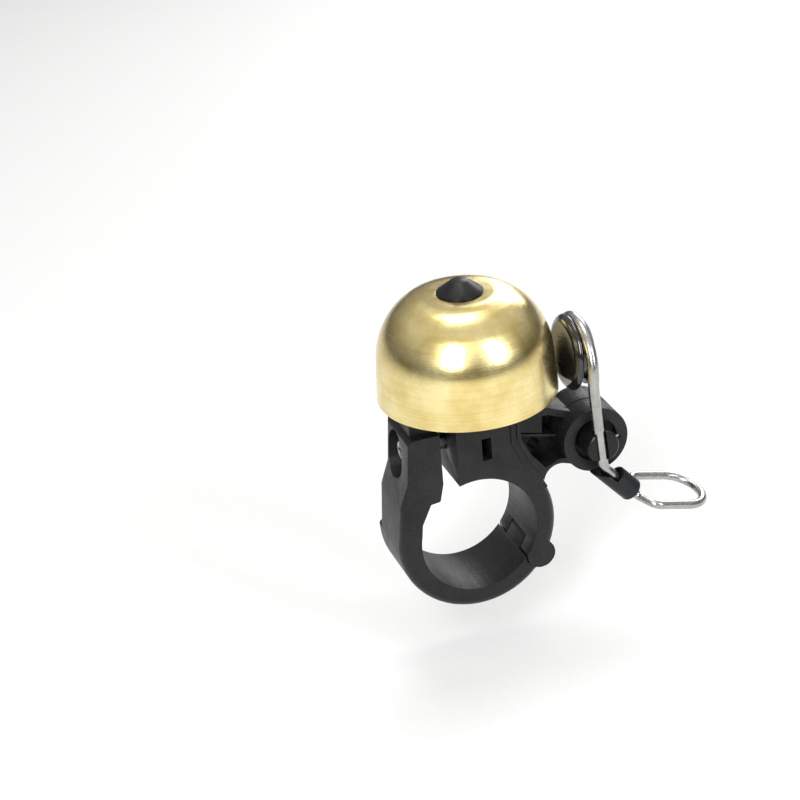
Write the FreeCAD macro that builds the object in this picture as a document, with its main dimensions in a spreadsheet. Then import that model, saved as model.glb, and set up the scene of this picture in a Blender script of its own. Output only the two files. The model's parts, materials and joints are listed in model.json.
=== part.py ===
import FreeCAD, Part
import math
import os

import Sketcher
from FreeCAD import Placement, Rotation, Vector

# A bicycle bell for a round handlebar.  The part's origin is the centre of the clamp bore:
# Y runs along the handlebar, Z points up along the dome's axis, X points to the striker.
SIZES = {
    # handlebar clamp
    "bar_radius": 11.1, "bracket_half": 7.0, "strap_radius": 15.0, "strap_bevel": 1.9,
    "knuckle_x": 11.53, "knuckle_z": -7.2, "knuckle_radius": 2.7, "knuckle_half": 3.1,
    "knuckle_gap": 0.3, "pin_radius": 1.0, "pin_half": 6.4,
    # block of the bracket
    "block_left": -3.1, "block_top": 24.0, "nut_slot_x": 2.5, "nut_slot_wide": 1.8, "nut_slot_tall": 4.3,
    "nut_thick": 1.6, "nut_side": 4.2, "screw_z": 16.8, "screw_hole": 1.7,
    # arm with the open pocket, and the striker's barrel
    "arm_back": -0.7, "pocket_deep": 4.6, "barrel_x": 22.1, "barrel_z": 15.2, "barrel_radius": 6.15,
    "barrel_front": 10.0, "barrel_long": 9.3, "bearing_radius": 3.06, "recess_radius": 4.1,
    "recess_deep": 1.6, "bearing_long": 2.0, "chamber_radius": 4.9,
    # ear of the strap
    "ear_right": -6.1, "ear_left_top": 11.9, "ear_back_round": 3.5, "ear_flange_top": 21.7,
    "ear_back_top": 24.3, "ear_flange_thick": 1.9,
    "slot_z": 16.4, "slot_wide": 7.2, "slot_tall": 8.9, "slot_floor": 9.2,
    # dome and its post
    "dome_x": 2.1, "rim_z": 25.4, "rim_radius": 16.24, "dome_radius": 15.79, "dome_high": 19.3,
    "dome_wall": 1.1, "skirt_high": 6.53, "curve_high": 20.65, "side_power": 2.333, "crown_power": 2.091,
    "seat_radius": 4.2, "dome_hole": 1.6,
    "post_radius": 4.4, "post_top_radius": 3.4, "isolator_thick": 1.0, "isolator_radius": 3.9,
    "cap_high": 2.3, "cap_tip": 1.35, "rib_thick": 1.2, "rib_reach": 6.2,
    "dome_screw_radius": 1.25, "dome_screw_long": 12.0, "dome_head_radius": 2.0, "dome_head_high": 1.0,
    # clamp screw
    "clamp_screw_radius": 1.5, "clamp_screw_long": 15.0, "head_radius": 2.5, "head_high": 1.7,
    "washer_radius": 2.6, "washer_thick": 0.5,
    # striker shaft, wire, hammer, sleeve and finger loop
    "hub_radius": 3.0, "hub_front": 13.5, "shaft_radius": 2.6, "journal_radius": 1.5, "cap_thick": 1.6,
    "clip_radius": 2.7, "clip_thick": 0.4, "wire_radius": 1.0, "wire_y": -12.5, "ring_x": 21.2,
    "ring_z": 28.8, "ring_tilt": 3.0, "hook_radius": 8.0, "neck_wire_radius": 6.2,
    "hammer_rim": 6.9, "hammer_flat": 5.0, "hammer_reach": 2.3, "hammer_neck": 5.15,
    "sleeve_radius": 2.15, "sleeve_bore": 1.7, "sleeve_long": 4.75, "lip_long": 4.7,
    "loop_wire_radius": 0.8, "loop_half": 4.9, "loop_long": 14.6,
    "spring_radius": 4.35, "spring_wire": 0.35, "spring_pitch": 0.95, "spring_turns": 4.0,
}

doc = FreeCAD.newDocument("BicycleBell")
sheet = doc.addObject("Spreadsheet::Sheet", "Sizes")
for row, (alias, number) in enumerate(SIZES.items(), start=1):
    sheet.set(f"A{row}", alias.replace("_", " "))
    sheet.set(f"B{row}", str(number))
    sheet.setAlias(f"B{row}", alias)
doc.recompute()


class Size:
    """A length with the sheet expression that it comes from."""

    def __init__(self, value, text):
        self.value = value
        self.text = text

    def __add__(self, other):
        other = as_size(other)
        return Size(self.value + other.value, f"({self.text} + {other.text})")

    def __sub__(self, other):
        other = as_size(other)
        return Size(self.value - other.value, f"({self.text} - {other.text})")

    def __mul__(self, factor):
        return Size(self.value * factor, f"({self.text} * {factor:.9f})")

    def __truediv__(self, factor):
        return self * (1.0 / factor)

    def __neg__(self):
        return self * -1.0

    def __radd__(self, other):
        return as_size(other) + self

    def __rsub__(self, other):
        return as_size(other) - self

    __rmul__ = __mul__


def as_size(number):
    return number if isinstance(number, Size) else Size(float(number), f"{number:.9f}")


class Sheet:
    """Each alias of the sheet as a Size, for example s.bar_radius."""

    def __getattr__(self, alias):
        return Size(float(sheet.get(alias)), f"Sizes.{alias}")


s = Sheet()
PARTS = {}


def polar(radius, degrees):
    """A point on a circle about the sketch's origin."""
    angle = math.radians(degrees)
    return radius * math.cos(angle), radius * math.sin(angle)


# ---------------------------------------------------------------- sketches and features
def sketch(body, name, role, offset=0.0):
    """A sketch on one of the body's own origin planes, moved along the plane's normal."""
    drawing = body.newObject("Sketcher::SketchObject", name)
    plane = next(f for f in body.Origin.OriginFeatures if f.Role == role)
    drawing.AttachmentSupport = [(plane, "")]
    drawing.MapMode = "FlatFace"
    drawing.setExpression("AttachmentOffset.Base.z", as_size(offset).text)
    return drawing


def hold(drawing, kind, geometry, point, value):
    """A signed distance from the sketch's origin, bound to the sheet."""
    value = as_size(value)
    number = drawing.addConstraint(Sketcher.Constraint(kind, -1, 1, geometry, point, value.value))
    drawing.setExpression(f"Constraints[{number}]", value.text)


def circle(drawing, x, y, radius):
    x, y, radius = as_size(x), as_size(y), as_size(radius)
    round_edge = Part.Circle(Vector(x.value, y.value, 0), Vector(0, 0, 1), radius.value)
    number = drawing.addGeometry(round_edge, False)
    hold(drawing, "DistanceX", number, 3, x)
    hold(drawing, "DistanceY", number, 3, y)
    rule = drawing.addConstraint(Sketcher.Constraint("Radius", number, radius.value))
    drawing.setExpression(f"Constraints[{rule}]", radius.text)


def outline(drawing, points):
    """A closed outline.  A point is (x, y), or (x, y, via) where the edge that leaves it is an
    arc through the point via."""
    corners = [(as_size(p[0]), as_size(p[1])) for p in points]
    spots = [Vector(x.value, y.value, 0) for x, y in corners]
    first, ends, count = drawing.GeometryCount, [], len(points)
    for i, point in enumerate(points):
        start, end = spots[i], spots[(i + 1) % count]
        if len(point) == 2:
            drawing.addGeometry(Part.LineSegment(start, end), False)
            ends.append((1, 2))
            continue
        via = Vector(as_size(point[2][0]).value, as_size(point[2][1]).value, 0)
        left_turn = (via - start).cross(end - via).z > 0
        arc = Part.Arc(start, via, end) if left_turn else Part.Arc(end, via, start)
        drawing.addGeometry(arc, False)
        ends.append((1, 2) if left_turn else (2, 1))
    for i, point in enumerate(points):
        here, after = first + i, first + (i + 1) % count
        tail, head = ends[i][1], ends[(i + 1) % count][0]
        drawing.addConstraint(Sketcher.Constraint("Coincident", here, tail, after, head))
        hold(drawing, "DistanceX", here, tail, corners[(i + 1) % count][0])
        hold(drawing, "DistanceY", here, tail, corners[(i + 1) % count][1])
        if len(point) == 3:
            arc = drawing.Geometry[here]
            half_round = (spots[(i + 1) % count] - spots[i]).Length > 1.999 * arc.Radius
            if half_round:
                hold(drawing, "DistanceY", here, 3, arc.Center.y)
            else:
                drawing.addConstraint(Sketcher.Constraint("Radius", here, arc.Radius))


def box_outline(drawing, x0, y0, x1, y1):
    outline(drawing, [(x0, y0), (x1, y0), (x1, y1), (x0, y1)])


def obround(drawing, x, y, wide, tall):
    """An upright slot with round ends about (x, y)."""
    half, straight = wide / 2, tall / 2 - wide / 2
    right, left, top, bottom = x + half, x - half, y + straight, y - straight
    outline(drawing, [(right, bottom), (right, top, (x, top + half)), (left, top),
                      (left, bottom, (x, bottom - half))])


def new_body(label, x=0.0, y=0.0, z=0.0, rotation=None):
    body = doc.addObject("PartDesign::Body", label)
    body.Label = label
    body.Placement = Placement(Vector(0, 0, 0), rotation or Rotation())
    for axis, value in zip("xyz", (x, y, z)):
        body.setExpression(f"Placement.Base.{axis}", as_size(value).text)
    PARTS[label] = body
    return body


def pad(body, drawing, length, reverse=False):
    feature = body.newObject("PartDesign::Pad", drawing.Name + "Pad")
    feature.Profile = drawing
    feature.Reversed = reverse
    feature.setExpression("Length", as_size(length).text)
    doc.recompute()
    return feature


def pocket(body, drawing, depth, reverse=False):
    """A cut from the sketch, which must take something away."""
    before = body.Shape.Volume
    feature = body.newObject("PartDesign::Pocket", drawing.Name + "Pocket")
    feature.Profile = drawing
    feature.Reversed = reverse
    feature.setExpression("Length", as_size(depth).text)
    doc.recompute()
    if body.Shape.Volume > before - 1e-4:
        raise RuntimeError(f"{body.Label}: {drawing.Name} cuts nothing")
    return feature


def revolve(body, drawing, angle=360.0, reverse=False):
    feature = body.newObject("PartDesign::Revolution", drawing.Name + "Turn")
    feature.Profile = drawing
    feature.ReferenceAxis = (drawing, ["V_Axis"])
    feature.Angle = angle
    feature.Reversed = reverse
    doc.recompute()
    return feature


def bent_band(body, name, side, angle, reverse):
    """Part of the ring round the handlebar, with rounded outer corners."""
    half, round_off = s.bracket_half, s.strap_bevel
    inner, outer = s.bar_radius * side, s.strap_radius * side
    near = (s.strap_radius - round_off) * side
    bulge = (s.strap_radius - round_off * 0.2929) * side
    drawing = sketch(body, name, "XY_Plane")
    outline(drawing, [
        (inner, -half), (near, -half, (bulge, -half + round_off * 0.2929)), (outer, -half + round_off),
        (outer, half - round_off, (bulge, half - round_off * 0.2929)), (near, half), (inner, half),
    ])
    revolve(body, drawing, angle, reverse)


def turned(label, profile, x, y, z, rotation=None):
    """A body turned about its own Z axis from an outline of (radius, height) points."""
    body = new_body(label, x, y, z, rotation)
    drawing = sketch(body, label + "Profile", "XZ_Plane")
    outline(drawing, profile)
    revolve(body, drawing)
    return body


def rounded_path(points, radii):
    """Edges of a path through the points, each inner corner rounded to its radius."""
    points = [Vector(*p) for p in points]
    edges, start = [], points[0]
    for before, corner, after, radius in zip(points, points[1:], points[2:], radii):
        back, on = (before - corner).normalize(), (after - corner).normalize()
        half = back.getAngle(on) / 2
        reach = radius / math.tan(half)
        centre = corner + (back + on).normalize() * (radius / math.sin(half))
        into, out = corner + back * reach, corner + on * reach
        middle = centre + (corner - centre).normalize() * radius
        if (into - start).Length > 1e-6:
            edges.append(Part.LineSegment(start, into).toShape())
        edges.append(Part.Arc(into, middle, out).toShape())
        start = out
    if (points[-1] - start).Length > 1e-6:
        edges.append(Part.LineSegment(start, points[-1]).toShape())
    return edges


def wire_solid(edges, radius):
    """A round wire along the path."""
    path = Part.Wire(edges)
    first = edges[0]
    start = first.valueAt(first.FirstParameter)
    section = Part.Wire(Part.Circle(start, first.tangentAt(first.FirstParameter), radius).toShape())
    solid = path.makePipeShell([section], True, False)
    expected = math.pi * radius ** 2 * path.Length
    if abs(solid.Volume - expected) > 0.02 * expected:
        raise RuntimeError("wire volume differs from its section times its length")
    return solid


def shape_part(label, shape, placement=None):
    feature = doc.addObject("Part::Feature", label)
    feature.Label = label
    feature.Shape = shape
    feature.Placement = placement or Placement()
    PARTS[label] = feature
    return feature


# ---------------------------------------------------------------- bracket
FRONT = s.bracket_half
WIDTH = s.bracket_half * 2
LEG_TOP = 25.3


def clamp_base():
    body = new_body("clamp_base")
    block = sketch(body, "Block", "XZ_Plane", -FRONT)
    arch_z = math.sqrt(s.bar_radius.value ** 2 - s.block_left.value ** 2)
    outline(block, [
        (s.block_left, arch_z), (s.block_left, s.block_top), (8.3, s.block_top), (8.6, 16.9),
        polar(s.strap_radius.value, LEG_TOP),
        (*polar(s.bar_radius.value, 25.0), polar(s.bar_radius.value, 60.0)),
    ])
    pad(body, block, WIDTH)
    bent_band(body, "LegUp", 1.0, LEG_TOP, True)
    bent_band(body, "LegDown", 1.0, 31.0, False)
    knuckle = sketch(body, "Knuckle", "XZ_Plane", -FRONT)
    circle(knuckle, s.knuckle_x, s.knuckle_z, s.knuckle_radius)
    pad(body, knuckle, WIDTH)
    arm(body)
    barrel(body)
    relief = sketch(body, "KnuckleRelief", "XZ_Plane", -(s.knuckle_half + s.knuckle_gap))
    circle(relief, s.knuckle_x, s.knuckle_z, s.knuckle_radius + s.knuckle_gap)
    pocket(body, relief, (s.knuckle_half + s.knuckle_gap) * 2, reverse=True)
    pin_hole = sketch(body, "PinHole", "XZ_Plane", -FRONT)
    circle(pin_hole, s.knuckle_x, s.knuckle_z, s.pin_radius)
    pocket(body, pin_hole, FRONT + s.pin_half, reverse=True)
    bore = sketch(body, "ClampBore", "XZ_Plane", FRONT + 1.0)
    circle(bore, 0.0, 0.0, s.bar_radius)
    pocket(body, bore, WIDTH + 2.0)
    post(body)
    fastener_cuts(body)
    pocket_details(body)
    return body


def arm(body):
    """The plate that reaches out to the barrel, with its open pocket."""
    plate = sketch(body, "ArmPlate", "XZ_Plane", -s.arm_back)
    outline(plate, [
        (7.5, 13.0), (7.5, s.block_top), (9.6, s.block_top), (18.9, 20.3), (s.barrel_x, s.barrel_z),
        (18.6, 9.75), (16.9, 10.35, (14.6, 10.1)), (13.0, 7.95), (10.5, 9.0),
    ])
    pad(body, plate, FRONT + s.arm_back)
    opening = sketch(body, "ArmPocket", "XZ_Plane", FRONT)
    outline(opening, [
        (9.1, 21.0), (9.1, 17.2), (10.9, 13.4), (13.4, 10.3, (14.3, 10.6)), (15.9, 11.4),
        (18.9, 11.2), (18.9, 18.2), (18.3, 19.0), (14.4, 20.7),
    ])
    pocket(body, opening, s.pocket_deep)


def barrel(body):
    outside = sketch(body, "Barrel", "XZ_Plane", s.barrel_front - s.barrel_long)
    circle(outside, s.barrel_x, s.barrel_z, s.barrel_radius)
    pad(body, outside, s.barrel_long)
    line = sketch(body, "BarrelLine", "XZ_Plane", 5.1)
    circle(line, s.barrel_x, s.barrel_z, s.barrel_radius + 0.5)
    circle(line, s.barrel_x, s.barrel_z, s.barrel_radius - 0.25)
    pocket(body, line, 0.35, reverse=True)
    recess = sketch(body, "HubRecess", "XZ_Plane", s.barrel_front)
    circle(recess, s.barrel_x, s.barrel_z, s.recess_radius)
    pocket(body, recess, s.recess_deep)
    bearing = sketch(body, "Bearing", "XZ_Plane", s.barrel_front)
    circle(bearing, s.barrel_x, s.barrel_z, s.bearing_radius)
    pocket(body, bearing, s.barrel_long)
    chamber = sketch(body, "SpringChamber", "XZ_Plane", s.barrel_front - s.barrel_long)
    circle(chamber, s.barrel_x, s.barrel_z, s.chamber_radius)
    pocket(body, chamber, s.barrel_long - s.recess_deep - s.bearing_long, reverse=True)
    spring_hole = sketch(body, "SpringHole", "XZ_Plane", s.barrel_front)
    circle(spring_hole, s.barrel_x + s.spring_radius, s.barrel_z - 0.4, s.spring_wire + 0.05)
    pocket(body, spring_hole, s.barrel_long)


def post(body):
    """The post that carries the dome, with four ribs at its foot."""
    top = s.rim_z + s.dome_high - s.dome_wall - s.isolator_thick
    foot = s.block_top - 0.5
    stem = sketch(body, "Post", "XY_Plane", foot)
    circle(stem, s.dome_x, 0.0, s.post_radius)
    pad(body, stem, top - foot - 3.0)
    tip = sketch(body, "PostTip", "XY_Plane", foot)
    circle(tip, s.dome_x, 0.0, s.post_top_radius)
    pad(body, tip, top - foot)
    for name, x_reach, y_reach in (("RibAcross", s.rib_reach, s.rib_thick / 2),
                                   ("RibAlong", s.rib_thick / 2, s.rib_reach)):
        rib = sketch(body, name, "XY_Plane", foot)
        box_outline(rib, s.dome_x - x_reach, -y_reach, s.dome_x + x_reach, y_reach)
        pad(body, rib, 9.0)
    pilot = sketch(body, "PostPilot", "XY_Plane", top)
    circle(pilot, s.dome_x, 0.0, s.dome_screw_radius)
    pocket(body, pilot, s.dome_screw_long)


def fastener_cuts(body):
    """The slot that holds the clamp's nut, and the clamp screw's hole."""
    slot = sketch(body, "NutSlot", "XZ_Plane", FRONT)
    half_wide, half_tall = s.nut_slot_wide / 2, s.nut_slot_tall / 2
    box_outline(slot, s.nut_slot_x - half_wide, s.screw_z - half_tall,
                s.nut_slot_x + half_wide, s.screw_z + half_tall)
    pocket(body, slot, FRONT + half_tall)
    hole = sketch(body, "ClampScrewHole", "YZ_Plane", s.block_left - 1.0)
    circle(hole, 0.0, s.screw_z, s.screw_hole)
    pocket(body, hole, 9.6, reverse=True)


def pocket_details(body):
    """Moulded details in the arm's pocket, and the double rim along it."""
    floor = FRONT - s.pocket_deep
    boss = sketch(body, "PocketBox", "XZ_Plane", floor - 0.2)
    outline(boss, [(8.9, 18.1), (13.4, 16.95), (13.6, 21.2), (8.9, 21.6)])
    pad(body, boss, s.pocket_deep - 0.7)
    rib = sketch(body, "PocketRib", "XZ_Plane", floor - 0.2)
    outline(rib, [(8.9, 17.25), (16.5, 15.4), (16.6, 15.8), (8.9, 17.65)])
    pad(body, rib, s.pocket_deep - 0.9)
    bump = sketch(body, "PocketBump", "XZ_Plane", floor - 0.1)
    outline(bump, [(11.5, 13.3), (12.9, 12.0), (14.3, 13.5), (12.8, 14.8)])
    raised = pad(body, bump, 1.6)
    raised.TaperAngle = -30.0
    rims = ([(7.35, 23.2), (7.35, 16.9), (9.3, 12.4), (12.3, 8.75)],
            [(8.5, 22.8), (8.5, 17.15), (10.3, 12.95), (12.7, 9.85)])
    for number, line in enumerate(rims):
        rim = sketch(body, f"PocketRim{number}", "XZ_Plane", FRONT - 0.1)
        outline(rim, strip(line, 0.45))
        pad(body, rim, 0.42)


def strip(points, wide):
    """The closed outline of a line of the given width."""
    sides = ([], [])
    for i, (x, z) in enumerate(points):
        before, after = points[max(i - 1, 0)], points[min(i + 1, len(points) - 1)]
        along = Vector(after[0] - before[0], after[1] - before[1], 0).normalize()
        for side, sign in zip(sides, (1, -1)):
            side.append((x - sign * along.y * wide / 2, z + sign * along.x * wide / 2))
    return sides[0] + sides[1][::-1]


# ---------------------------------------------------------------- strap
def clamp_strap():
    body = new_body("clamp_strap")
    bent_band(body, "Band", -1.0, 146.0, True)
    sections = [ear_section(body, f"EarSection{number}", *row) for number, row in enumerate((
        (0.0, -s.strap_radius, s.strap_bevel), (8.7, -14.3, 0.9), (13.0, -12.7, 0.4),
        (s.ear_flange_top, -s.ear_left_top, 0.4)))]
    loft = body.newObject("PartDesign::AdditiveLoft", "Ear")
    loft.Profile = sections[0]
    loft.Sections = sections[1:]
    loft.Ruled = True
    doc.recompute()
    inside = sketch(body, "EarInside", "XZ_Plane", FRONT + 1.0)
    outline(inside, [
        (-s.bar_radius, -0.6), (-s.bar_radius, 0.0), (-10.6, 4.6), (-8.7, 8.4), (-6.9, 8.6),
        (s.ear_right, 12.0), (s.ear_right + 1.0, 12.0), (s.ear_right + 1.0, -0.6),
    ])
    pocket(body, inside, WIDTH + 2.0)
    corner = sketch(body, "EarCorner", "XZ_Plane", FRONT + 1.0)
    outline(corner, [
        (-s.ear_left_top - 1.0, 20.4), (-s.ear_left_top - 0.2, 20.4, (-11.6, 21.3)),
        (-10.7, s.ear_flange_top), (-10.7, s.ear_flange_top + 1.0),
        (-s.ear_left_top - 1.0, s.ear_flange_top + 1.0),
    ])
    pocket(body, corner, WIDTH + 2.0)
    crest = sketch(body, "EarCrest", "XY_Plane", s.ear_flange_top - 2.0)
    box_outline(crest, -11.0, -FRONT + s.ear_flange_thick, s.ear_right, FRONT - 2.5)
    pad(body, crest, s.ear_back_top - s.ear_flange_top + 2.0)
    knuckle = sketch(body, "StrapKnuckle", "XZ_Plane", -FRONT)
    circle(knuckle, s.knuckle_x, s.knuckle_z, s.knuckle_radius)
    pad(body, knuckle, WIDTH)
    side_reliefs(body)
    pin_hole = sketch(body, "StrapPinHole", "XZ_Plane", FRONT)
    circle(pin_hole, s.knuckle_x, s.knuckle_z, s.pin_radius + 0.05)
    pocket(body, pin_hole, WIDTH)
    bore = sketch(body, "StrapBore", "XZ_Plane", FRONT + 1.0)
    circle(bore, 0.0, 0.0, s.bar_radius)
    pocket(body, bore, WIDTH + 2.0)
    head_slot = sketch(body, "HeadSlot", "YZ_Plane", -s.slot_floor)
    obround(head_slot, as_size(0.0), s.slot_z, s.slot_wide, s.slot_tall)
    pocket(body, head_slot, 8.0)
    shank_slot = sketch(body, "ShankSlot", "YZ_Plane", -s.slot_floor - 0.5)
    shank_wide = s.clamp_screw_radius * 2 + 0.5
    obround(shank_slot, as_size(0.0), s.screw_z + 0.57, shank_wide, shank_wide + 1.7)
    pocket(body, shank_slot, 6.0, reverse=True)
    return body


def ear_section(body, name, z, left, front_round):
    """One level section of the ear, with its two outer corners rounded."""
    half, back_round = s.bracket_half, s.ear_back_round
    drawing = sketch(body, name, "XY_Plane", z)
    outline(drawing, [
        (s.ear_right, -half), (s.ear_right, half),
        (left + back_round, half, (left + back_round * 0.2929, half - back_round * 0.2929)),
        (left, half - back_round),
        (left, -half + front_round, (left + front_round * 0.2929, -half + front_round * 0.2929)),
        (left + front_round, -half),
    ])
    return drawing


def side_reliefs(body):
    """Room for the bracket's outer knuckles at each side of the strap's own."""
    for name, front in (("FrontRelief", FRONT + 1.0), ("BackRelief", -s.knuckle_half)):
        relief = sketch(body, name, "XZ_Plane", front)
        circle(relief, s.knuckle_x, s.knuckle_z, s.knuckle_radius + s.knuckle_gap)
        pocket(body, relief, FRONT + 1.0 - s.knuckle_half)


def hinge_pin():
    body = new_body("hinge_pin")
    drawing = sketch(body, "Pin", "XZ_Plane", -FRONT)
    circle(drawing, s.knuckle_x, s.knuckle_z, s.pin_radius)
    pad(body, drawing, FRONT + s.pin_half)


def clamp_nut():
    body = new_body("clamp_nut")
    side, thick = s.nut_side / 2, s.nut_thick / 2
    drawing = sketch(body, "Nut", "YZ_Plane", s.nut_slot_x - thick)
    box_outline(drawing, -side, s.screw_z - side, side, s.screw_z + side)
    pad(body, drawing, s.nut_thick)
    bore = sketch(body, "NutBore", "YZ_Plane", s.nut_slot_x - thick)
    circle(bore, 0.0, s.screw_z, s.clamp_screw_radius + 0.05)
    pocket(body, bore, s.nut_thick, reverse=True)


def clamp_screw():
    """Pan-head cross-recess screw along X, its head in the ear."""
    seat = -s.slot_floor - s.washer_thick
    body = turned("clamp_screw", [
        (0.0, s.head_high), (1.6, s.head_high), (s.head_radius, s.head_high - 0.8), (s.head_radius, 0.0),
        (s.clamp_screw_radius, 0.0), (s.clamp_screw_radius, -s.clamp_screw_long + 0.6),
        (s.clamp_screw_radius - 0.6, -s.clamp_screw_long), (0.0, -s.clamp_screw_long),
    ], seat, 0.0, s.screw_z, Rotation(Vector(0, 0, 1), Vector(-1, 0, 0)))
    cross = sketch(body, "CrossRecess", "XY_Plane", s.head_high)
    arm_long, arm_half = 1.5, 0.3
    outline(cross, [
        (arm_half, arm_half), (arm_half, arm_long), (-arm_half, arm_long), (-arm_half, arm_half),
        (-arm_long, arm_half), (-arm_long, -arm_half), (-arm_half, -arm_half), (-arm_half, -arm_long),
        (arm_half, -arm_long), (arm_half, -arm_half), (arm_long, -arm_half), (arm_long, arm_half),
    ])
    pocket(body, cross, 1.1)


def clamp_washer():
    turned("clamp_washer", [
        (s.clamp_screw_radius + 0.1, 0.0), (s.washer_radius, 0.0), (s.washer_radius, s.washer_thick),
        (s.clamp_screw_radius + 0.1, s.washer_thick),
    ], -s.slot_floor - 0.0, 0.0, s.screw_z, Rotation(Vector(0, 0, 1), Vector(-1, 0, 0)))


# ---------------------------------------------------------------- dome
def dome_point(degrees, inset):
    """A point of the dome's section, moved inwards along the normal, as (radius, height)."""
    radius, skirt = s.dome_radius.value, s.skirt_high.value
    rise = s.curve_high.value - skirt

    def curve(angle):
        return Vector(radius * math.cos(angle) ** (2 / s.side_power.value),
                      skirt + rise * math.sin(angle) ** (2 / s.crown_power.value), 0)

    angle = math.radians(degrees)
    along = (curve(angle + 0.001) - curve(angle - 0.001)).normalize()
    spot = curve(angle) + Vector(-along.y, along.x, 0) * inset
    return spot.x, spot.y


def bell_dome():
    """A thin turned shell: nearly straight skirt, round shoulder and a small flat top."""
    stops = (4.0, 26.0, 44.0, 56.9)
    outer, inner = [], []
    for low, high in zip(stops, stops[1:]):
        middle = (low + high) / 2
        outer.append((*dome_point(low, 0.0), dome_point(middle, 0.0)))
        inner.append((*dome_point(high, s.dome_wall.value), dome_point(middle, s.dome_wall.value)))
    top, in_high = s.dome_high, s.dome_high - s.dome_wall
    last = dome_point(stops[-1], 0.0)
    turned("bell_dome", [
        (s.dome_hole, top), (s.dome_hole, in_high), (6.6, in_high), *inner[::-1],
        dome_point(stops[0], s.dome_wall.value), (s.rim_radius - s.dome_wall, 0.0), (s.rim_radius, 0.0),
        *outer, (*last, (7.64, top.value - 0.21)), (5.2, top),
    ], s.dome_x, 0.0, s.rim_z)


def dome_isolator():
    turned("dome_isolator", [
        (s.dome_screw_radius + 0.05, 0.0), (s.isolator_radius, 0.0), (s.isolator_radius, s.isolator_thick),
        (s.dome_screw_radius + 0.05, s.isolator_thick),
    ], s.dome_x, 0.0, s.rim_z + s.dome_high - s.dome_wall - s.isolator_thick)


def dome_screw():
    turned("dome_screw", [
        (0.0, s.dome_head_high), (s.dome_head_radius - 0.4, s.dome_head_high), (s.dome_head_radius, 0.5),
        (s.dome_head_radius, 0.0), (s.dome_screw_radius, 0.0),
        (s.dome_screw_radius, -s.dome_screw_long + 0.8),
        (0.3, -s.dome_screw_long), (0.0, -s.dome_screw_long),
    ], s.dome_x, 0.0, s.rim_z + s.dome_high)


def dome_cap():
    hollow = s.dome_head_radius + 0.1
    turned("dome_cap", [
        (hollow, 0.0), (s.seat_radius, 0.0), (s.seat_radius, 0.25), (s.cap_tip + 0.25, s.cap_high - 0.1),
        (s.cap_tip, s.cap_high), (0.0, s.cap_high), (0.0, s.dome_head_high + 0.15),
        (hollow, s.dome_head_high + 0.15),
    ], s.dome_x, 0.0, s.rim_z + s.dome_high)


# ---------------------------------------------------------------- striker
TOWARD_FRONT = Rotation(Vector(0, 0, 1), Vector(0, -1, 0))


def striker_shaft():
    """Turned about the barrel's axis; heights run from the barrel's rear face to the front."""
    rear = s.barrel_front - s.barrel_long
    shoulder = s.barrel_front - s.recess_deep - s.bearing_long - 0.05
    groove_low = rear - s.cap_thick - 0.5 - s.clip_thick
    body = turned("striker_shaft", [
        (0.0, groove_low - 0.6), (s.journal_radius - 0.2, groove_low - 0.6),
        (s.journal_radius, groove_low - 0.4),
        (s.journal_radius, groove_low), (s.journal_radius - 0.4, groove_low),
        (s.journal_radius - 0.4, groove_low + s.clip_thick), (s.journal_radius, groove_low + s.clip_thick),
        (s.journal_radius, rear + 0.9), (s.shaft_radius, rear + 0.9), (s.shaft_radius, shoulder),
        (s.hub_radius, shoulder), (s.hub_radius, s.hub_front - 0.25), (s.hub_radius - 0.25, s.hub_front),
        (0.0, s.hub_front),
    ], s.barrel_x, 0.0, s.barrel_z, TOWARD_FRONT)
    slot = sketch(body, "WireSlot", "XY_Plane", s.hub_front)
    half = s.wire_radius + 0.04
    across = stem_offset()
    lean = stem_lean()
    reach = s.hub_radius.value + 1.0
    side = Vector(lean.y, -lean.x, 0)
    corners = []
    for along, out in ((reach, half.value), (reach, -half.value),
                       (-reach, -half.value), (-reach, half.value)):
        spot = Vector(across, 0, 0) + lean * along + side * out
        corners.append((spot.x, spot.y))
    outline(slot, corners)
    pocket(body, slot, s.hub_front + s.wire_y + s.wire_radius + 0.04)


STEM_LOW = (22.2, 10.775)
STEM_HIGH = (21.4, 22.0)


def stem_lean():
    """The direction of the wire's stem at the hub, in the plane of X and Z."""
    return Vector(STEM_HIGH[0] - STEM_LOW[0], STEM_HIGH[1] - STEM_LOW[1], 0).normalize()


def stem_offset():
    """How far right of the hub's axis the stem crosses it."""
    part = (s.barrel_z.value - STEM_LOW[1]) / (STEM_HIGH[1] - STEM_LOW[1])
    return STEM_LOW[0] + part * (STEM_HIGH[0] - STEM_LOW[0]) - s.barrel_x.value


def tilted():
    """The frame of the hammer's ring: its Z is the ring's axis, toward the dome."""
    lean = Rotation(Vector(0, 1, 0), s.ring_tilt.value)
    return Placement(Vector(s.ring_x.value, 0, s.ring_z.value), lean)


SLEEVE_MOUTH = Vector(24.39, -12.5, 8.29)
SLEEVE_AXIS = Vector(0.661, 0.0, -0.750).normalize()


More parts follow.
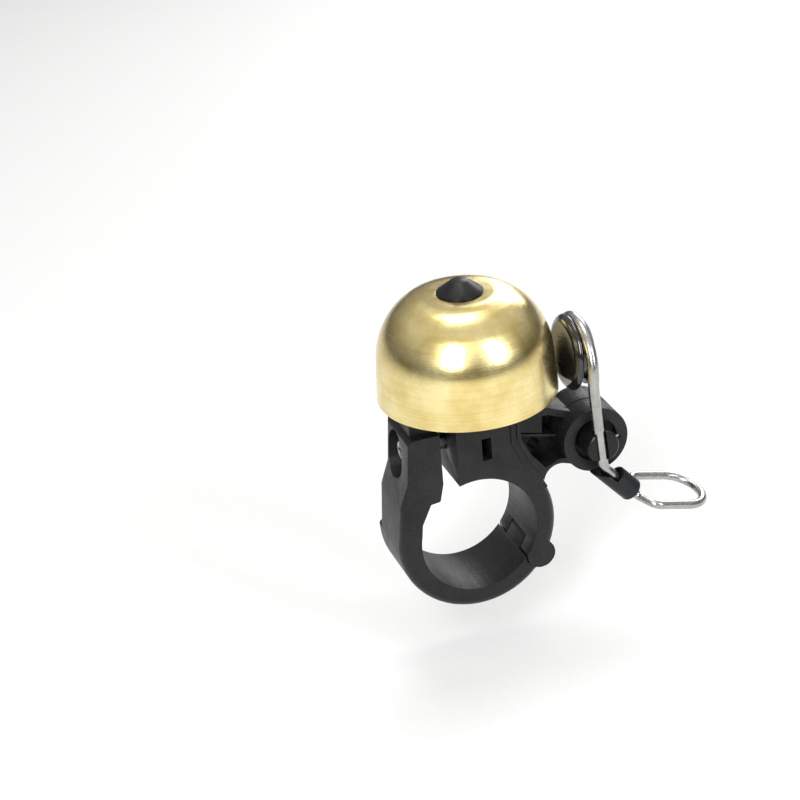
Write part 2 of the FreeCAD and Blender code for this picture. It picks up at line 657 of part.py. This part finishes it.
def striker_wire():
    """One bent wire: from the sleeve, up the stem and over the hammer's neck."""
    wire_y, radius = s.wire_y.value, s.wire_radius.value
    end = SLEEVE_MOUTH + SLEEVE_AXIS * 2.0
    frame = tilted()
    hook, neck = s.hook_radius.value, s.neck_wire_radius.value
    hook_centre = Vector(0, wire_y + hook, 0)
    neck_centre = Vector(0, wire_y + 8.3, 1.775)
    join_way = (neck_centre - hook_centre).normalize()
    joint = neck_centre + join_way * neck

    def on_ring(centre, size, degrees):
        angle = math.radians(degrees)
        return centre + Vector(0, size * math.cos(angle), size * math.sin(angle))

    join_angle = math.degrees(math.atan2(join_way.z, join_way.y))
    spots = [on_ring(hook_centre, hook, 180.0), on_ring(hook_centre, hook, (180.0 + join_angle) / 2), joint,
             on_ring(neck_centre, neck, (join_angle - 55.0) / 2), on_ring(neck_centre, neck, -55.0)]
    spots = [frame.multVec(spot) for spot in spots]
    foot = frame.multVec(on_ring(hook_centre, hook, 180.0) - Vector(0, 0, 2.0))
    stem = rounded_path([
        tuple(end), (STEM_LOW[0], wire_y, STEM_LOW[1]), (STEM_HIGH[0], wire_y, STEM_HIGH[1]), tuple(foot),
        tuple(spots[0]),
    ], [2.6, 30.0, 20.0])
    ring = [Part.Arc(*spots[0:3]).toShape(), Part.Arc(*spots[2:5]).toShape()]
    shape_part("striker_wire", wire_solid(stem + ring, radius))


def hammer_place():
    frame = tilted()
    centre = frame.multVec(Vector(0, s.wire_y.value + 8.3, 1.775))
    away = frame.Rotation.multVec(Vector(-1, 0, 0))
    return centre, Rotation(Vector(0, 0, 1), away)


def hammer():
    centre, turn = hammer_place()
    gap = s.wire_radius + 0.03
    turned("hammer_face", [
        (0.0, -gap), (s.hammer_neck, -gap), (s.hammer_neck, gap), (s.hammer_rim - 0.15, gap),
        (s.hammer_rim, gap + 0.15), (s.hammer_rim, gap + 0.4, (s.hammer_rim - 0.3, gap + 0.85)),
        (s.hammer_flat, s.hammer_reach), (0.0, s.hammer_reach),
    ], centre.x, centre.y, centre.z, turn)
    screw_hole = sketch(PARTS["hammer_face"], "HammerPilot", "XY_Plane", -gap)
    circle(screw_hole, 0.0, 0.0, 0.8)
    pocket(PARTS["hammer_face"], screw_hole, 2.6, reverse=True)
    turned("hammer_back", [
        (0.85, -gap - 1.0), (4.6, -gap - 1.0), (6.1, -gap - 0.5), (6.1, -gap), (0.85, -gap),
    ], centre.x, centre.y, centre.z, turn)
    turned("hammer_screw", [
        (0.0, -gap - 1.9), (1.1, -gap - 1.9), (1.6, -gap - 1.5), (1.6, -gap - 1.0), (0.8, -gap - 1.0),
        (0.8, -gap + 2.2), (0.4, -gap + 2.5), (0.0, -gap + 2.5),
    ], centre.x, centre.y, centre.z, turn)


def along_sleeve(start, end, radius):
    return Part.makeCylinder(radius, end - start, SLEEVE_MOUTH + SLEEVE_AXIS * start, SLEEVE_AXIS)


def wire_sleeve():
    """A moulded tube over the joint of wire and loop, with an open lip under the wire's bend."""
    outer, bore, long = s.sleeve_radius.value, s.sleeve_bore.value, s.sleeve_long.value
    lip = s.lip_long.value
    tube = along_sleeve(-lip, long, outer).cut(along_sleeve(-lip - 1, long + 1, bore))
    across = Vector(-SLEEVE_AXIS.z, 0, SLEEVE_AXIS.x)
    open_side = [(-lip - 1, -outer - 0.4), (-lip, -outer), (-1.6, -0.35), (0, -0.35), (0, outer + 1),
                 (-lip - 1, outer + 1)]
    corners = [SLEEVE_MOUTH + SLEEVE_AXIS * along + across * up for along, up in open_side]
    side = Part.Face(Part.makePolygon([c - Vector(0, outer + 1, 0) for c in corners + corners[:1]]))
    tube = tube.cut(side.extrude(Vector(0, 2 * outer + 2, 0)))
    tube = tube.makeFillet(0.35, [edge for edge in tube.Edges if far_rim(edge, long, outer)])
    shape_part("wire_sleeve", tube)
    core = along_sleeve(0.7, long - 1.2, bore).cut(along_sleeve(0.6, 2.0, s.wire_radius.value))
    for side in (-1, 1):
        hole = along_sleeve(long - 2.4, long, s.loop_wire_radius.value)
        hole.translate(Vector(0, side * 0.84, 0))
        core = core.cut(hole)
    shape_part("crimp_core", core)


def far_rim(edge, long, outer):
    """True for the outer edge of the sleeve's end at the loop."""
    middle = edge.valueAt(edge.FirstParameter) - SLEEVE_MOUTH
    height = middle.dot(SLEEVE_AXIS)
    return abs(height - long) < 0.01 and abs((middle - SLEEVE_AXIS * height).Length - outer) < 0.01


def finger_loop():
    """A closed loop of thin wire for a finger, its two ends side by side in the sleeve."""
    along = Vector(0.9526, 0.1024, -0.2909).normalize()
    across = Vector(-0.06, 0.99, 0.15)
    across = (across - along * across.dot(along)).normalize()
    end = SLEEVE_MOUTH + SLEEVE_AXIS * s.sleeve_long.value
    half, long = s.loop_half.value, s.loop_long.value
    points = []
    for side in (-1, 1):
        inside = end - SLEEVE_AXIS * 2.2 + Vector(0, side * 0.84, 0)
        outside = end + SLEEVE_AXIS * 1.0 + Vector(0, side * 0.84, 0)
        wide = across * side * half
        flank = [inside, outside, end + along * 2.5 + wide, end + along * long + wide]
        points += flank if side < 0 else flank[::-1]
    points = [tuple(p) for p in points]
    edges = rounded_path(points, [1.3, 1.9, half - 0.02, half - 0.02, 1.9, 1.3])
    shape_part("finger_loop", wire_solid(edges, s.loop_wire_radius.value))


def barrel_rear_cap():
    """The lid of the spring chamber, which also carries the shaft's rear journal."""
    rear = s.barrel_front - s.barrel_long
    hole = s.journal_radius + 0.06
    turned("barrel_rear_cap", [
        (hole, rear - s.cap_thick), (s.barrel_radius - 0.5, rear - s.cap_thick),
        (s.barrel_radius, rear - s.cap_thick + 0.5), (s.barrel_radius, rear), (s.chamber_radius, rear),
        (s.chamber_radius, rear + 0.6), (hole, rear + 0.6),
    ], s.barrel_x, 0.0, s.barrel_z, TOWARD_FRONT)


def shaft_retainers():
    """Thrust washer and retaining ring behind the rear cap."""
    rear = s.barrel_front - s.barrel_long
    low = rear - s.cap_thick - 0.45
    turned("thrust_washer", [
        (s.journal_radius + 0.05, low), (s.clip_radius + 0.3, low), (s.clip_radius + 0.3, low + 0.4),
        (s.journal_radius + 0.05, low + 0.4),
    ], s.barrel_x, 0.0, s.barrel_z, TOWARD_FRONT)
    groove_low = rear - s.cap_thick - 0.5 - s.clip_thick
    clip = turned("shaft_clip", [
        (s.journal_radius - 0.4, groove_low), (s.clip_radius, groove_low),
        (s.clip_radius, groove_low + s.clip_thick), (s.journal_radius - 0.4, groove_low + s.clip_thick),
    ], s.barrel_x, 0.0, s.barrel_z, TOWARD_FRONT)
    mouth = sketch(clip, "ClipMouth", "XY_Plane", groove_low - 0.5)
    box_outline(mouth, -0.9, -4.0, 0.9, 0.0)
    pocket(clip, mouth, 2.0, reverse=True)


def return_spring():
    """A torsion spring: four turns, one leg forward through the barrel's front wall."""
    radius, wire, pitch = s.spring_radius.value, s.spring_wire.value, s.spring_pitch.value
    turns = s.spring_turns.value
    rear_y = -(s.barrel_front.value - s.barrel_long.value) - 1.1
    coil = Part.makeHelix(pitch, pitch * turns, radius)
    start = Vector(radius, 0, 0)
    first = Part.Wire(coil).Edges[0]
    section = Part.Wire(Part.Circle(start, first.tangentAt(first.FirstParameter), wire).toShape())
    coil_solid = Part.Wire(coil).makePipeShell([section], True, True)
    front_wall = s.barrel_front.value - 0.35 + rear_y
    leg = Part.makeCylinder(wire, front_wall - pitch * turns, Vector(radius, 0, pitch * turns))
    tail = Part.makeCylinder(wire, radius - 3.0, Vector(radius, 0, 0), Vector(-1, 0, 0))
    solid = coil_solid.fuse([leg, tail, Part.makeSphere(wire, Vector(radius, 0, pitch * turns)),
                             Part.makeSphere(wire, start)])
    place = Placement(Vector(s.barrel_x.value, rear_y, s.barrel_z.value), TOWARD_FRONT)
    spin = Rotation(Vector(0, 0, 1), -math.degrees(math.asin(0.4 / radius)))
    shape_part("return_spring", solid, place.multiply(Placement(Vector(), spin)))


def check_and_write():
    doc.recompute()
    for item in doc.Objects:
        if "Invalid" in item.State or "Error" in item.State:
            raise RuntimeError(f"{item.Label} failed: {item.State}")
    os.makedirs("parts", exist_ok=True)
    for label, item in PARTS.items():
        shape = item.Shape
        if shape.isNull() or not shape.isValid() or len(shape.Solids) != 1:
            raise RuntimeError(f"{label} is not one valid solid: {len(shape.Solids)}")
        shape.exportStep(f"parts/{label}.step")
        print(f"{label:18s} {shape.Volume:9.2f} mm3")


for make in (clamp_base, clamp_strap, hinge_pin, clamp_nut, clamp_screw, clamp_washer, bell_dome,
             dome_isolator, dome_screw, dome_cap, striker_shaft, striker_wire, hammer, wire_sleeve,
             finger_loop, barrel_rear_cap, shaft_retainers, return_spring):
    make()
check_and_write()
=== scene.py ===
import json
import math

import bpy
import bmesh
from mathutils import Matrix, Vector

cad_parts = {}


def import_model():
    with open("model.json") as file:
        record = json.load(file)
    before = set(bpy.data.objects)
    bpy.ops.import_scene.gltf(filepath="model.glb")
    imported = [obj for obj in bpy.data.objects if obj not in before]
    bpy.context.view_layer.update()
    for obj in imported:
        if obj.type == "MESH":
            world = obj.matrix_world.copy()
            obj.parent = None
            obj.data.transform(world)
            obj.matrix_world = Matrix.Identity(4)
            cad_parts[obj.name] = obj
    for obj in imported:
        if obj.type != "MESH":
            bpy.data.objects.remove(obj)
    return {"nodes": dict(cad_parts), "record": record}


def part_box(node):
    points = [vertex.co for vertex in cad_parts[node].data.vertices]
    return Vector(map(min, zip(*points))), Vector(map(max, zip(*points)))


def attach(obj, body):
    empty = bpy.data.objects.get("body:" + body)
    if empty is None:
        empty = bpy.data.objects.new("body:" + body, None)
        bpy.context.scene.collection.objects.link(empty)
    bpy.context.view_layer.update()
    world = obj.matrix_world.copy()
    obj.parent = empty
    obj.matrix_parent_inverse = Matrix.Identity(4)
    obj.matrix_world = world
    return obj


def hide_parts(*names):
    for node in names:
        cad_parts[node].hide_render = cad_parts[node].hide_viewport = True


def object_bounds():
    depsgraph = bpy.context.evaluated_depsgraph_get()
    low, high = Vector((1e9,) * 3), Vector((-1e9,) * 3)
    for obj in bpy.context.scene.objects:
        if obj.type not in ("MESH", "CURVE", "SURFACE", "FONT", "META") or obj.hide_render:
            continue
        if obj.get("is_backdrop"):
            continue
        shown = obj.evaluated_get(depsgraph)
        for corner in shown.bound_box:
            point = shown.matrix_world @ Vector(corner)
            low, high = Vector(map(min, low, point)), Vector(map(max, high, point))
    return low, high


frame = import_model()
CAD_LOW, CAD_HIGH = (list(corner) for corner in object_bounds())
MM = 0.001


# ---------------------------------------------------------------- node materials
class Shader:
    """A node material with one Principled shader, and short ways to add nodes to it."""

    def __init__(self, name):
        self.material = bpy.data.materials.new(name)
        self.material.use_nodes = True
        self.tree = self.material.node_tree
        self.principled = self.tree.nodes["Principled BSDF"]

    def node(self, kind, inputs=(), **settings):
        made = self.tree.nodes.new(kind)
        for key, value in settings.items():
            setattr(made, key, value)
        for key, value in dict(inputs).items():
            self.feed(made.inputs[key], value)
        return made

    def feed(self, socket, value):
        if isinstance(value, bpy.types.NodeSocket):
            self.tree.links.new(value, socket)
        else:
            socket.default_value = value

    def set(self, **values):
        """Gives inputs of the Principled shader a value or a link."""
        for key, value in values.items():
            self.feed(self.principled.inputs[key.replace("_", " ")], value)

    def place(self, scale=(1.0, 1.0, 1.0)):
        """The piece's own coordinates in metres, stretched by scale."""
        where = self.node("ShaderNodeTexCoord").outputs["Object"]
        return self.node("ShaderNodeMapping", {"Vector": where, "Scale": scale}).outputs["Vector"]

    def noise(self, vector, scale, detail=4.0, rough=0.55):
        inputs = {"Vector": vector, "Scale": scale, "Detail": detail, "Roughness": rough}
        return self.node("ShaderNodeTexNoise", inputs).outputs["Fac"]

    def ramp(self, value, low, high, start, end):
        """Maps value from low..high to start..end."""
        inputs = {"Value": value, "From Min": low, "From Max": high, "To Min": start, "To Max": end}
        return self.node("ShaderNodeMapRange", inputs).outputs["Result"]

    def tint(self, value, dark, light):
        """A colour between dark and light, chosen by value."""
        mix = self.node("ShaderNodeMix", data_type="RGBA")
        self.feed(mix.inputs["Factor"], value)
        self.feed(mix.inputs[6], (*dark, 1.0))
        self.feed(mix.inputs[7], (*light, 1.0))
        return mix.outputs[2]

    def calc(self, operation, first, second):
        made = self.node("ShaderNodeMath", operation=operation)
        self.feed(made.inputs[0], first)
        self.feed(made.inputs[1], second)
        return made.outputs[0]

    def bump(self, height, strength, distance, normal=None):
        inputs = {"Height": height, "Strength": strength, "Distance": distance}
        made = self.node("ShaderNodeBump", inputs)
        if normal is not None:
            self.feed(made.inputs["Normal"], normal)
        return made.outputs["Normal"]


def brass():
    """Spun and lacquered brass: fine rings about the dome's axis, faint smears."""
    m = Shader("brass")
    m.set(Metallic=1.0, Anisotropic=0.55, Coat_Weight=0.25, Coat_Roughness=0.08)
    where = m.node("ShaderNodeTexCoord").outputs["Object"]
    parts = m.node("ShaderNodeSeparateXYZ", {"Vector": where}).outputs
    squares = m.calc("ADD", m.calc("MULTIPLY", parts["X"], parts["X"]),
                     m.calc("MULTIPLY", parts["Y"], parts["Y"]))
    radius = m.calc("SQRT", squares, 0.0)
    along = m.calc("ADD", m.calc("MULTIPLY", radius, 0.8), parts["Z"])
    ring_place = m.node("ShaderNodeCombineXYZ", {
        "X": along,
        "Y": m.calc("MULTIPLY", parts["X"], 0.006),
        "Z": m.calc("MULTIPLY", parts["Y"], 0.006),
    }).outputs[0]
    fine = m.noise(ring_place, 16000.0, 5.0, 0.7)
    broad = m.noise(ring_place, 1800.0, 3.0, 0.6)
    smear = m.noise(m.place(), 130.0, 4.0, 0.6)
    grain = m.noise(m.place(), 2600.0, 3.0, 0.7)
    tone = m.calc("ADD", m.calc("MULTIPLY", smear, 0.75), m.calc("MULTIPLY", broad, 0.25))
    m.set(Base_Color=m.tint(m.ramp(tone, 0.39, 0.61, 0.0, 1.0),
                            (0.66, 0.51, 0.185), (0.85, 0.72, 0.355)))
    polish = m.calc("ADD", m.calc("MULTIPLY", fine, 0.5), m.calc("MULTIPLY", smear, 0.5))
    m.set(Roughness=m.ramp(polish, 0.3, 0.7, 0.17, 0.33))
    rings = m.bump(fine, 0.10, 0.00004)
    m.set(Normal=m.bump(grain, 0.05, 0.00003, rings))
    return m.material


def moulded(name, dark, light, rough, grain, strength, speckle=0.0):
    """Moulded black plastic with a fine grain and, if speckle isn't 0, pale flecks."""
    m = Shader(name)
    where = m.place()
    fine = m.noise(where, grain, 4.0, 0.75)
    cloud = m.noise(where, 220.0, 4.0, 0.6)
    fibre = m.noise(m.place((1.0, 0.35, 1.6)), grain * 0.55, 5.0, 0.8)
    flecks = m.ramp(fibre, 0.66, 0.78, 0.0, speckle)
    mottle = m.calc("ADD", m.calc("MULTIPLY", fine, 0.5), m.calc("MULTIPLY", cloud, 0.5))
    tone = m.calc("ADD", m.ramp(mottle, 0.35, 0.65, 0.0, 0.6), flecks)
    m.set(Base_Color=m.tint(tone, dark, light), Specular_IOR_Level=0.26)
    m.set(Roughness=m.ramp(cloud, 0.3, 0.7, rough - 0.07, rough + 0.09))
    m.set(Normal=m.bump(fine, strength, 0.00010))
    return m.material


def glossy(name, dark, light):
    """Polished black plastic with faint orange peel and hairline scratches."""
    m = Shader(name)
    peel = m.noise(m.place(), 420.0, 2.0, 0.5)
    hair = m.noise(m.place((1.0, 12.0, 0.7)), 1500.0, 4.0, 0.7)
    m.set(Base_Color=m.tint(m.ramp(peel, 0.3, 0.7, 0.0, 1.0), dark, light), Specular_IOR_Level=0.55)
    m.set(Roughness=m.ramp(hair, 0.3, 0.75, 0.09, 0.20), Coat_Weight=0.6, Coat_Roughness=0.05)
    m.set(Normal=m.bump(m.calc("ADD", peel, m.calc("MULTIPLY", hair, 0.25)), 0.06, 0.00008))
    return m.material


def metal(name, dark, light, rough, stretch, strength):
    """Drawn or plated steel, with streaks along it and small dull spots."""
    m = Shader(name)
    m.set(Metallic=1.0)
    streak = m.noise(m.place(stretch), 2400.0, 5.0, 0.7)
    spots = m.noise(m.place(), 700.0, 4.0, 0.65)
    m.set(Base_Color=m.tint(m.ramp(spots, 0.3, 0.7, 0.0, 1.0), dark, light))
    mix = m.calc("ADD", m.calc("MULTIPLY", streak, 0.6), m.calc("MULTIPLY", spots, 0.4))
    m.set(Roughness=m.ramp(mix, 0.3, 0.7, rough - 0.06, rough + 0.12))
    m.set(Normal=m.bump(streak, strength, 0.00004))
    return m.material


MATERIALS = {
    "brass": brass(),
    "black_nylon": moulded("black_nylon", (0.0035, 0.0037, 0.0043), (0.022, 0.0225, 0.024),
                           0.38, 1900.0, 0.9, 0.8),
    "black_satin": moulded("black_satin", (0.0035, 0.0035, 0.004), (0.011, 0.011, 0.012),
                           0.34, 2000.0, 0.12),
    "black_gloss": glossy("black_gloss", (0.0045, 0.0045, 0.005), (0.010, 0.010, 0.011)),
    "sleeve_black": moulded("sleeve_black", (0.0045, 0.0055, 0.007), (0.014, 0.017, 0.021),
                            0.36, 1500.0, 0.18),
    "isolator_rubber": moulded("isolator_rubber", (0.010, 0.010, 0.010), (0.022, 0.022, 0.022),
                               0.68, 1800.0, 0.2),
    "bright_steel": metal("bright_steel", (0.34, 0.33, 0.315), (0.47, 0.46, 0.445),
                          0.22, (1.0, 1.0, 0.12), 0.03),
    "zinc_steel": metal("zinc_steel", (0.42, 0.42, 0.42), (0.62, 0.62, 0.61),
                        0.30, (1.0, 0.3, 1.0), 0.10),
}
SLOTS = {part["node"]: part["material_slot"] for part in frame["record"]["subparts"]}
BODIES = {
    node: body
    for body, nodes in frame["record"]["behaviour"]["bodies"].items()
    for node in nodes
}


# ---------------------------------------------------------------- mesh pieces
def show(name, mesh, *nodes, origin=None):
    """Puts a finished mesh in the scene in place of the CAD nodes that it stands for."""
    mesh.materials.clear()
    mesh.materials.append(MATERIALS[SLOTS[nodes[0]]])
    piece = bpy.data.objects.new(name, mesh)
    bpy.context.scene.collection.objects.link(piece)
    if origin is not None:
        mesh.transform(Matrix.Translation(-Vector(origin)))
        piece.location = origin
    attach(piece, BODIES[nodes[0]])
    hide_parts(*nodes)
    return piece


def softened(node, width, angle=28.0):
    """A copy of a CAD node whose sharp edges are broken by a small round."""
    source = frame["nodes"][node]
    mesh = source.data.copy()
    form = bmesh.new()
    form.from_mesh(mesh)
    bmesh.ops.remove_doubles(form, verts=form.verts, dist=0.000002)
    bmesh.ops.dissolve_limit(form, angle_limit=math.radians(0.6), verts=form.verts, edges=form.edges)
    form.to_mesh(mesh)
    form.free()
    mesh.shade_smooth()
    low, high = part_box(node)
    piece = show(node + "_moulded", mesh, node, origin=(low + high) / 2)
    bevel = piece.modifiers.new("EdgeRound", "BEVEL")
    bevel.width = width
    bevel.segments = 3
    bevel.limit_method = "ANGLE"
    bevel.angle_limit = math.radians(angle)
    bevel.use_clamp_overlap = True
    bevel.harden_normals = True
    return piece


def lathe(name, profile, origin, node, steps=224):
    """A closed section, as (radius, height) in mm, turned about the Z axis through origin."""
    form = bmesh.new()
    rings = []
    for radius, height in profile:
        turns = [2 * math.pi * i / steps for i in range(steps)]
        rings.append([form.verts.new((radius * MM * math.cos(a), radius * MM * math.sin(a), height * MM))
                      for a in turns])
    for lower, upper in zip(rings, rings[1:] + rings[:1]):
        for i in range(steps):
            j = (i + 1) % steps
            form.faces.new((lower[i], lower[j], upper[j], upper[i]))
    bmesh.ops.recalc_face_normals(form, faces=form.faces)
    mesh = bpy.data.meshes.new(name)
    form.to_mesh(mesh)
    form.free()
    mesh.shade_smooth()
    mesh.transform(Matrix.Translation(origin))
    return show(name, mesh, node, origin=origin)


def rounded(corner, before, after, reach, steps=5):
    """Points of a small round at a corner of a section."""
    corner, before, after = Vector(corner), Vector(before), Vector(after)
    into = corner + (before - corner).normalized() * reach
    out = corner + (after - corner).normalized() * reach
    return [tuple(into.lerp(corner, k / steps).lerp(corner.lerp(out, k / steps), k / steps))
            for k in range(steps + 1)]


def dome_section():
    """The dome's wall in mm: rolled rim, skirt and shoulder, easing into a flat crown."""
    wall, top, rim_radius = 1.1, 19.3, 16.24
    widest, skirt_high, curve_high = 15.79, 6.53, 14.12
    side_power, crown_power = 2.333, 2.091
    crown_flat, screw_hole, inner_flat = 4.6, 1.6, 6.5

    def curve(degrees, inset):
        def spot(angle):
            return Vector((widest * math.cos(angle) ** (2 / side_power),
                           skirt_high + curve_high * math.sin(angle) ** (2 / crown_power)))
        angle = math.radians(degrees)
        along = (spot(angle + 0.001) - spot(angle - 0.001)).normalized()
        return tuple(spot(angle) + Vector((-along.y, along.x)) * inset)

    angles = [4.0 + 52.9 * i / 44 for i in range(45)]
    outer = [curve(a, 0.0) for a in angles]
    inner = [curve(a, wall) for a in angles]
    rim_out, rim_in = (rim_radius, 0.0), (rim_radius - wall, 0.0)
    crown = rounded((7.98, top), outer[-1], (5.2, top), 2.3, steps=16)[3:]
    return [
        *rounded(rim_in, inner[0], rim_out, 0.22),
        *rounded(rim_out, rim_in, outer[0], 0.30),
        *outer, *crown, (crown_flat, top),
        (screw_hole, top), (screw_hole, top - wall), (inner_flat, top - wall),
        *inner[::-1],
    ]


# ---------------------------------------------------------------- the pieces
# widths in metres of the small rounds on the moulded and turned pieces
SMALL_ROUND = {
    "clamp_base": 0.00028, "clamp_strap": 0.00028, "clamp_screw": 0.00012, "clamp_washer": 0.00006,
    "clamp_nut": 0.00012, "dome_cap": 0.00008, "striker_shaft": 0.00010, "hammer_face": 0.00012,
    "hammer_back": 0.00012, "hammer_screw": 0.00010, "wire_sleeve": 0.00015, "barrel_rear_cap": 0.00015,
}
for node, width in SMALL_ROUND.items():
    softened(node, width)
low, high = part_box("bell_dome")
dome_foot = Vector(((low.x + high.x) / 2, (low.y + high.y) / 2, low.z))
lathe("dome_shell", dome_section(), dome_foot, "bell_dome")
for node, piece in frame["nodes"].items():
    if not piece.hide_render:
        piece.data.materials.clear()
        piece.data.materials.append(MATERIALS[SLOTS[node]])


# ---------------------------------------------------------------- floor, light and camera
def rect_light(name, place, target, size, power):
    """A soft box at place, turned to face target."""
    data = bpy.data.lights.new(name, "AREA")
    data.shape = "RECTANGLE"
    data.size, data.size_y = size
    data.energy = power
    lamp = bpy.data.objects.new(name, data)
    bpy.context.scene.collection.objects.link(lamp)
    lamp.location = place
    lamp.rotation_mode = "QUATERNION"
    lamp.rotation_quaternion = (Vector(target) - Vector(place)).to_track_quat("-Z", "Y")
    lamp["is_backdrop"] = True


def floor_material():
    m = Shader("floor_paper")
    fibres = m.noise(m.place(), 900.0, 4.0, 0.7)
    m.set(Base_Color=m.tint(fibres, (0.64, 0.64, 0.635), (0.70, 0.70, 0.695)), Specular_IOR_Level=0.2)
    m.set(Roughness=m.ramp(fibres, 0.3, 0.7, 0.85, 0.95))
    m.set(Normal=m.bump(fibres, 0.05, 0.0001))
    return m.material


def floor(height):
    mesh = bpy.data.meshes.new("floor")
    half = 1.6
    corners = [(-half, -half, height), (half, -half, height),
               (half, half, height), (-half, half, height)]
    mesh.from_pydata(corners, [], [(0, 1, 2, 3)])
    mesh.materials.append(floor_material())
    plane = bpy.data.objects.new("floor", mesh)
    bpy.context.scene.collection.objects.link(plane)
    plane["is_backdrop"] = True


def world():
    """Surroundings that go from grey at the horizon to white overhead."""
    made = bpy.data.worlds.new("studio")
    made.use_nodes = True
    tree = made.node_tree
    sky = tree.nodes["Background"]
    where = tree.nodes.new("ShaderNodeTexCoord")
    split = tree.nodes.new("ShaderNodeSeparateXYZ")
    ramp = tree.nodes.new("ShaderNodeValToRGB")
    tree.links.new(where.outputs["Generated"], split.inputs[0])
    tree.links.new(split.outputs["Z"], ramp.inputs["Fac"])
    tree.links.new(ramp.outputs["Color"], sky.inputs["Color"])
    stops = ramp.color_ramp.elements
    stops[0].position, stops[0].color = 0.0, (0.11, 0.11, 0.115, 1.0)
    stops[1].position, stops[1].color = 0.8, (1.0, 1.0, 1.0, 1.0)
    middle = stops.new(0.3)
    middle.color = (0.42, 0.42, 0.425, 1.0)
    sky.inputs["Strength"].default_value = 0.82
    bpy.context.scene.world = made


def camera():
    """A long lens, to the front left of the bell and above it."""
    azimuth, elevation, roll = (math.radians(a) for a in (-16.777, 26.498, -5.356))
    back = Vector((math.sin(azimuth) * math.cos(elevation), -math.cos(azimuth) * math.cos(elevation),
                   math.sin(elevation)))
    right = Vector((math.cos(azimuth), math.sin(azimuth), 0.0))
    up = back.cross(right)
    across = right * math.cos(roll) + up * math.sin(roll)
    upward = up * math.cos(roll) - right * math.sin(roll)
    data = bpy.data.cameras.new("camera")
    data.sensor_width = 36.0
    data.lens = 100.803
    data.clip_start, data.clip_end = 0.01, 10.0
    eye = bpy.data.objects.new("camera", data)
    bpy.context.scene.collection.objects.link(eye)
    eye.matrix_world = Matrix.Translation((-0.112507, -0.338197, 0.202746)) @ Matrix(
        (across, upward, back)).transposed().to_4x4()
    bpy.context.scene.camera = eye


camera()
world()
floor(CAD_LOW[2] - 0.012)
TARGET = (0.006, 0.0, 0.024)
rect_light("left_box", (-0.30, -0.42, 0.34), TARGET, (0.16, 0.36), 2.9)
rect_light("right_box", (0.24, -0.46, 0.30), TARGET, (0.09, 0.34), 1.6)
rect_light("top_box", (0.02, 0.08, 0.52), TARGET, (0.26, 0.26), 0.9)
rect_light("rim_box", (0.34, 0.40, 0.26), TARGET, (0.30, 0.24), 1.4)
bpy.context.scene.view_settings.view_transform = "Standard"
